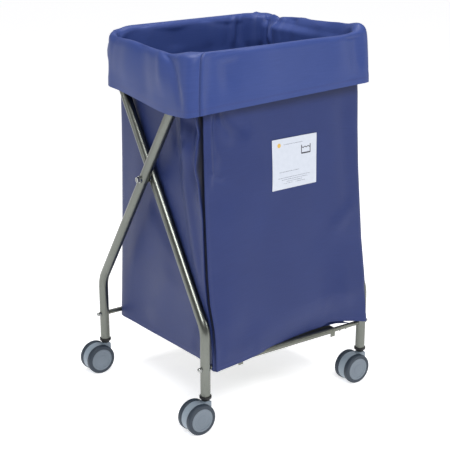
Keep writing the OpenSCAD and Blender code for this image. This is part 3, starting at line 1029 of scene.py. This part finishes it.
print("cuff:", cuff.shape, "top", round(float(cuff[..., 2].max()), 4))

# %% [markdown]
# The cuff has its own folds: a seam down the front-left corner, soft hollows beside it, a
# crease on the left side, and gathered pleats inside the rear-right corner, where the cloth
# has most to spare. They are given by side, place along the ring and share of the way up
# the profile, 0 at the hem and 1 at the lining's edge.

# %% Folds of the cuff
SEAM_RISE = 0.0022
# side, from (place, share), to (place, share), width along, rise
CUFF_FOLDS = [
    ("front", -0.2350, 0.02, -0.2250, 0.40, 0.016, -0.0045),
    ("front", -0.1780, 0.10, -0.1900, 0.36, 0.026, -0.0095),
    ("front", -0.0700, 0.05, -0.1000, 0.40, 0.045, 0.0028),
    ("front", 0.0600, 0.02, 0.0400, 0.40, 0.060, -0.0020),
    ("front", 0.1500, 0.05, 0.1650, 0.42, 0.035, 0.0030),
    ("front", 0.2180, 0.08, 0.2000, 0.36, 0.026, -0.0090),
    ("left", -0.2100, 0.05, -0.1950, 0.42, 0.020, 0.0040),
    ("left", -0.2050, 0.04, -0.1350, 0.42, 0.014, -0.0055),
    ("left", -0.1250, 0.10, -0.1050, 0.48, 0.022, 0.0050),
    ("left", -0.0300, 0.05, 0.0000, 0.48, 0.035, -0.0040),
    ("left", 0.0800, 0.05, 0.0600, 0.48, 0.040, 0.0040),
    ("left", 0.1700, 0.05, 0.1500, 0.45, 0.025, -0.0035),
    ("rear", -0.1200, 0.05, -0.0900, 0.42, 0.050, 0.0035),
    ("rear", 0.0400, 0.05, 0.0600, 0.42, 0.050, -0.0030),
    ("rear", 0.1800, 0.05, 0.1700, 0.42, 0.030, 0.0035),
    ("right", -0.1700, 0.05, -0.1500, 0.45, 0.025, 0.0040),
    ("right", -0.0500, 0.05, -0.0700, 0.48, 0.035, -0.0040),
    ("right", 0.0600, 0.05, 0.0500, 0.48, 0.030, 0.0045),
    ("right", 0.1400, 0.05, 0.1600, 0.48, 0.010, -0.0055),
    ("rear", 0.2100, 0.46, 0.2060, 1.15, 0.0075, -0.0070),
    ("rear", 0.1930, 0.55, 0.1860, 1.15, 0.0070, 0.0060),
    ("rear", 0.1700, 0.60, 0.1600, 1.15, 0.0100, -0.0045),
    ("rear", 0.0800, 0.60, 0.1100, 1.15, 0.0260, 0.0040),
    ("rear", -0.0400, 0.60, -0.0100, 1.15, 0.0350, -0.0045),
    ("rear", -0.1300, 0.60, -0.1500, 1.15, 0.0220, 0.0035),
    ("right", 0.2000, 0.45, 0.1960, 1.15, 0.0070, -0.0080),
    ("right", 0.1820, 0.50, 0.1760, 1.15, 0.0065, 0.0070),
    ("right", 0.1620, 0.50, 0.1580, 1.15, 0.0065, -0.0065),
    ("right", 0.1380, 0.55, 0.1280, 1.15, 0.0100, 0.0055),
    ("right", 0.0900, 0.55, 0.0700, 1.15, 0.0200, -0.0050),
    ("right", -0.0500, 0.60, -0.0800, 1.15, 0.0300, 0.0040),
]
row_share = np.linspace(0, 1, CUFF_ROWS)[None, :] * np.ones((len(cuff), 1))
inside_rim = row_share > 0.5
tangent = np.gradient(cuff, axis=1)
around = np.roll(cuff[:-1], -1, 0) - np.roll(cuff[:-1], 1, 0)
around = np.concatenate([around, around[:1]])
cuff_out = np.cross(around, tangent)
cuff_out /= np.maximum(np.linalg.norm(cuff_out, axis=-1, keepdims=True), 1e-9)
lift = slow_waves(cuff[..., 0] * 1.1 + cuff[..., 1] * 1.4, row_share * 0.5, 23, 0.0018)
for side, p0, s0, p1, s1, width, rise in CUFF_FOLDS:
    spot = outer_ring[:, :1] if side in ("front", "rear") else outer_ring[:, 1:]
    spot = spot * np.ones_like(row_share)
    centre = p0 + (p1 - p0) * np.clip((row_share - s0) / (s1 - s0), 0, 1)
    fade = smooth_step(row_share, s0 - 0.06, s0 + 0.08)
    fade = fade * (1 - smooth_step(row_share, s1 - 0.06, s1 + 0.06))
    on = (cuff_side_of == SIDE_ORDER.index(side))[:, None]
    lift = lift + on * rise * fade * np.exp(-(((spot - centre) / width) ** 2))
lift = lift * (1 - smooth_step(cuff[..., 2], 0.885, 0.850) * inside_rim)
lift[-1] = lift[0]
roll_quiet = np.exp(-(((row_share - 0.5) / 0.09) ** 2))
lift = lift * (1 - 0.75 * roll_quiet * (1 - free_span[:, None]))
cuff = cuff + cuff_out * lift[..., None]

# the sewn seam at the front-left corner, and a small peak of spare cloth over the rear-right corner
cuff_run = length_along(outer_ring)
front_left = len(cuff_sides[0]) + len(cuff_sides[1])
off = (cuff_run - cuff_run[front_left] - 0.021)[:, None]
outside = 1 - smooth_step(row_share, 0.40, 0.5)
valley = np.exp(-((off / 0.0022) ** 2)) * outside
ridge = np.exp(-(((off - 0.0065) / 0.0035) ** 2)) * outside
cuff = cuff + cuff_out * (ridge * SEAM_RISE - valley * SEAM_RISE)[..., None]
seam_shade = valley * 0.35
peak = np.exp(-(((cuff_run[:, None] - 0.012) / 0.008) ** 2) - (((row_share - 0.52) / 0.07) ** 2))
cuff[..., 2] += peak * 0.0045
hem_band = (1 - smooth_step(row_share, 0.045, 0.062)) * CLOTH
cuff = cuff + cuff_out * hem_band[..., None]
cuff[-1] = cuff[0]
cuff = slide_clear(cuff, None, 0.0017, 3)

# the lining lies just inside the walls' inner face below the roll
LINING_GAP, LEAST_GAP = 0.003, 0.0026
wall_at = []
for side, wall_side, start in zip(cuff_sides, SIDES, starts):
    count = len(wall_side)
    wall_at.append(np.interp(side, wall_side, np.arange(count), right=count) + start)
wall_at = np.concatenate([*wall_at, [0.0]])
first = np.minimum(wall_at.astype(int), len(walls) - 2)
part = (wall_at - first)[:, None, None]
nearby = walls[first] * (1 - part) + walls[first + 1] * part
wall_out = ring_normals(walls)
nearby_out = wall_out[first] * (1 - part) + wall_out[first + 1] * part
wall_face, wall_way = np.zeros_like(cuff), np.zeros_like(cuff)
for i in range(len(cuff)):
    for axis in (0, 1):
        wall_face[i, :, axis] = np.interp(cuff[i, :, 2], nearby[i, :, 2], nearby[i, :, axis])
        wall_way[i, :, axis] = np.interp(cuff[i, :, 2], nearby[i, :, 2], nearby_out[i, :, axis])
wall_face[..., 2] = cuff[..., 2]
joins = smooth_step(cuff[..., 2], 0.872, 0.838) * inside_rim
lining = wall_face - wall_way * LINING_GAP
cuff = cuff * (1 - joins[..., None]) + lining * joins[..., None]

# above that it still has to stay inside the walls, as far up as they reach
beyond = np.maximum(0, ((cuff - wall_face) * wall_way).sum(-1) + LEAST_GAP)
for _ in range(2):
    beside = (np.roll(beyond[:-1], 1, 0) + np.roll(beyond[:-1], -1, 0)) / 2
    beyond[:-1] = np.maximum(beyond[:-1], beside)
beyond = beyond * inside_rim * smooth_step(cuff[..., 2], 0.925, 0.906)
cuff = cuff - wall_way * beyond[..., None]
print("lining moved in by at most", round(float(beyond.max()) * 1000, 1), "mm")
cuff[-1] = cuff[0]
print("cuff top now", round(float(cuff[..., 2].max()), 4))


# %% Cut the ring into two halves and make them
def half_ring(keep):
    """Columns of one half, ordered anticlockwise, with both cut ends at y = 0."""
    loop = cuff[:-1]
    inside = keep * loop[:, 0, 1] > 0
    count = len(loop)
    first = next(i for i in range(count) if inside[i] and not inside[i - 1])
    order = [(first + k) % count for k in range(int(inside.sum()))]
    before, after = (order[0] - 1) % count, (order[-1] + 1) % count
    columns = [loop[i] for i in order]
    ends = []
    for inner_i, outer_i in ((order[0], before), (order[-1], after)):
        a, b = loop[inner_i], loop[outer_i]
        cut = (a[:, 1] / (a[:, 1] - b[:, 1]))[:, None]
        ends.append(a + (b - a) * np.clip(cut, 0, 1))
    points = np.stack([ends[0], *columns, ends[1]])
    run_at = np.array([cuff_run[i] for i in order])
    run_at = np.where(run_at < run_at[0], run_at + cuff_run[-1], run_at)
    steps = np.concatenate([[run_at[0] - 0.004], run_at, [run_at[-1] + 0.004]])
    shades = np.stack([seam_shade[before], *[seam_shade[i] for i in order], seam_shade[after]])
    return points, steps, shades


def make_half(name, keep, nodes):
    points, steps, shades = half_ring(keep)
    far = np.cumsum(np.linalg.norm(np.diff(points, axis=1), axis=2), axis=1)
    up = np.concatenate([np.zeros((len(points), 1)), far], 1)
    across = np.repeat(steps[:, None], CUFF_ROWS, 1)
    half = settle_sheet(name, points, across, up, CLOTH, False, shades)
    half.data.materials.append(cuff_cloth_painted_lighter)
    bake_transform(half)
    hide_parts(*nodes)


make_half("cuff_front_half", -1, ["cuff_front", "cuff_left"])
make_half("cuff_rear_half", 1, ["cuff_rear", "cuff_right"])
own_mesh(bag_walls)
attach(bag_walls, "bag")
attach(floor_sheet, "shelf")

# %% [markdown]
# ## The label
# A white printed patch is sewn to the front. Its print here is a plain care-label pattern of
# our own: a wash-tub sign, a spot of colour and bars where lines of small print would be.
# It's cut from a plane, bent to the wall behind it and given the thickness of stiff film.

# %% Make the label
LABEL_W, LABEL_H = 0.141, 0.127
LABEL_COLUMNS, LABEL_ROWS = 30, 28
label_low, label_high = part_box("label")
label_x, label_z = (label_low.x + label_high.x) / 2, (label_low.z + label_high.z) / 2
front_columns = np.where(side_of == 2)[0]
label_points = np.zeros((LABEL_COLUMNS, LABEL_ROWS, 3))
for a, du in enumerate(np.linspace(-0.5, 0.5, LABEL_COLUMNS)):
    x = label_x + du * LABEL_W
    column = front_columns[np.argmin(np.abs(walls[front_columns, 70, 0] - x))]
    for b, dv in enumerate(np.linspace(-0.5, 0.5, LABEL_ROWS)):
        z = label_z + dv * LABEL_H
        y = np.interp(z, walls[column, :, 2], walls[column, :, 1])
        label_points[a, b] = (x, y - CLOTH, z)
for _ in range(6):
    inner_points = label_points[1:-1, 1:-1, 1]
    label_points[1:-1, 1:-1, 1] = (
        inner_points + label_points[2:, 1:-1, 1] + label_points[:-2, 1:-1, 1]
        + label_points[1:-1, 2:, 1] + label_points[1:-1, :-2, 1]
    ) / 5
label_points[..., 1] -= 0.0004
label_u = np.linspace(0, LABEL_W, LABEL_COLUMNS)[:, None] * np.ones((1, LABEL_ROWS))
label_v = np.linspace(0, LABEL_H, LABEL_ROWS)[None, :] * np.ones((LABEL_COLUMNS, 1))
label_patch = settle_sheet("label_patch", label_points, label_u, label_v, 0.0005, False)


def box_mask(x, y, x0, x1, y0, y1):
    """1 inside a rectangle of the print, 0 outside."""
    return (x > x0) * (x < x1) * (y > y0) * (y < y1)


printed = Finish("printed_label", Specular_IOR_Level=0.4)
print_uv = place(printed, "UV")
px = printed.node("ShaderNodeSeparateXYZ", {}, {0: print_uv})
py = Value(printed, px.socket.node.outputs[1])
words = printed.node("ShaderNodeTexNoise", {}, {"Vector": print_uv, "Scale": 700, "Detail": 1})
white_fleck = noise(printed, print_uv, 90, 2)
paper = mix(printed, tint(190, 196, 207), tint(203, 208, 218), white_fleck)
ink = 0
for x0, x1, y0, y1 in (
    (0.022, 0.085, 0.0425, 0.0440), (0.018, 0.120, 0.0275, 0.0290), (0.030, 0.112, 0.0225, 0.0240),
    (0.045, 0.095, 0.0175, 0.0190), (0.036, 0.066, 0.0130, 0.0142), (0.074, 0.104, 0.0130, 0.0142),
    (0.036, 0.096, 0.1105, 0.1120),
):
    ink = box_mask(px, py, x0, x1, y0, y1) * (words > 0.46) + ink
tub = box_mask(px, py, 0.092, 0.122, 0.080, 0.103) - box_mask(px, py, 0.0945, 0.1195, 0.0835, 0.1035)
waves = ((px * 620).maths("SINE") * 0.0011 + 0.0965 - py).maths("ABSOLUTE") < 0.0011
tub = tub + waves * box_mask(px, py, 0.0945, 0.1195, 0.09, 0.103)
spot_far = printed.node(
    "ShaderNodeVectorMath", {"operation": "DISTANCE"}, {0: print_uv, 1: (0.022, 0.111, 0)}, out=1
)
colour = mix(printed, paper, tint(92, 98, 118), ink * 0.9)
colour = mix(printed, colour, tint(40, 38, 48), tub)
colour = mix(printed, colour, tint(206, 170, 84), spot_far < 0.0055)
relief = bump(printed, white_fleck, 0.1, 0.0002)
label_patch.data.materials.append(
    printed.surface(Base_Color=colour, Roughness=white_fleck * 0.1 + 0.35, Normal=relief)
)
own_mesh(label_patch)
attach(label_patch, "bag")
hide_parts("label")
print("label centre", round(label_x, 4), round(label_z, 4))

# %% [markdown]
# ## Floor, light and camera
# The cart stands on a plain pale floor under soft lamps. Bright metal shows only what is
# round it, so the room has light and darker parts, or the tubes would look like chalk. The
# camera stands in front and to the left, a little above the rim, with a long lens.

# %% Floor
let_go()
bpy.ops.mesh.primitive_plane_add(size=40, location=(0, 0, 0))
studio_floor = bpy.context.active_object
studio_floor.name = "studio_floor"
bpy.ops.object.mode_set(mode="EDIT")
bpy.ops.mesh.subdivide(number_cuts=3)
bpy.ops.object.mode_set(mode="OBJECT")
paint = Finish("floor_paint", Specular_IOR_Level=0.0, Emission_Strength=0.6)
paint.shader.inputs["Emission Color"].default_value = (1, 1, 1, 1)
soft = noise(paint, place(paint), 0.8, 2)
studio_floor.data.materials.append(
    paint.surface(Base_Color=mix(paint, tint(250, 250, 250), tint(253, 253, 253), soft), Roughness=0.9)
)
studio_floor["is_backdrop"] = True

# %% Room light
scene = bpy.context.scene
scene.view_settings.view_transform = "Standard"
scene.view_settings.look = "None"
room = bpy.data.worlds.new("room")
room.use_nodes = True
scene.world = room
tree = room.node_tree
backdrop, output = tree.nodes["Background"], tree.nodes["World Output"]
backdrop.inputs["Color"].default_value = (1, 1, 1, 1)
backdrop.inputs["Strength"].default_value = 1.0
ambient = tree.nodes.new("ShaderNodeBackground")
sky = tree.nodes.new("ShaderNodeTexCoord")
split = tree.nodes.new("ShaderNodeSeparateXYZ")
ramp = tree.nodes.new("ShaderNodeValToRGB")
tree.links.new(sky.outputs["Generated"], split.inputs[0])
tree.links.new(split.outputs[2], ramp.inputs[0])
stops = ramp.color_ramp.elements
stops[0].position, stops[0].color = 0.0, (0.34, 0.35, 0.36, 1)
stops[1].position, stops[1].color = 0.55, (0.9, 0.9, 0.92, 1)
tree.links.new(ramp.outputs[0], ambient.inputs["Color"])
ambient.inputs["Strength"].default_value = 0.46
chooser = tree.nodes.new("ShaderNodeMixShader")
seen = tree.nodes.new("ShaderNodeLightPath")
tree.links.new(seen.outputs["Is Camera Ray"], chooser.inputs[0])
tree.links.new(ambient.outputs[0], chooser.inputs[1])
tree.links.new(backdrop.outputs[0], chooser.inputs[2])
tree.links.new(chooser.outputs[0], output.inputs["Surface"])
print("room light set")


# %% Lamps
def soft_lamp(name, spot, aim, width, height, watts):
    """A rectangular lamp at spot that faces aim."""
    bpy.ops.object.light_add(type="AREA", location=spot)
    lamp = bpy.context.active_object
    lamp.name = name
    lamp.data.shape = "RECTANGLE"
    lamp.data.size, lamp.data.size_y = width, height
    lamp.data.energy = watts
    lamp.rotation_euler = (Vector(aim) - Vector(spot)).to_track_quat("-Z", "Y").to_euler()


middle = (0, 0, 0.55)
soft_lamp("key_lamp", (-1.0, -2.1, 2.3), (0, 0, 0.8), 1.0, 0.8, 40)
soft_lamp("left_lamp", (-2.6, 0.6, 1.5), middle, 0.5, 1.8, 7)
soft_lamp("right_lamp", (2.4, -2.0, 1.3), middle, 0.6, 1.4, 14)
soft_lamp("top_lamp", (0.0, 0.1, 2.4), (0, 0, 0.8), 1.2, 1.2, 26)

# %% Camera
bpy.ops.object.camera_add(location=(-1.714, -2.397, 1.415))
camera = bpy.context.active_object
camera.data.lens = 94.1
camera.data.sensor_width = 36
camera.rotation_euler = Vector((0.5469, 0.7746, -0.3177)).to_track_quat("-Z", "Y").to_euler()
scene.camera = camera
print("camera at", [round(c, 3) for c in camera.location])

# %% [markdown]
# The visible cart's box and the imported model's box are both printed, so that they can be compared;
# the cloth may stand a little proud of the model's box. The visible cart has to keep to the box of
# the imported model, apart from a little that cloth may stand proud.

# %% Write the sizes and finish
bpy.context.view_layer.update()
shown_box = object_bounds()
for name, (low, high) in (("cad", cart_box), ("visual", shown_box)):
    print(name, [round(c, 4) for c in low], [round(c, 4) for c in high])
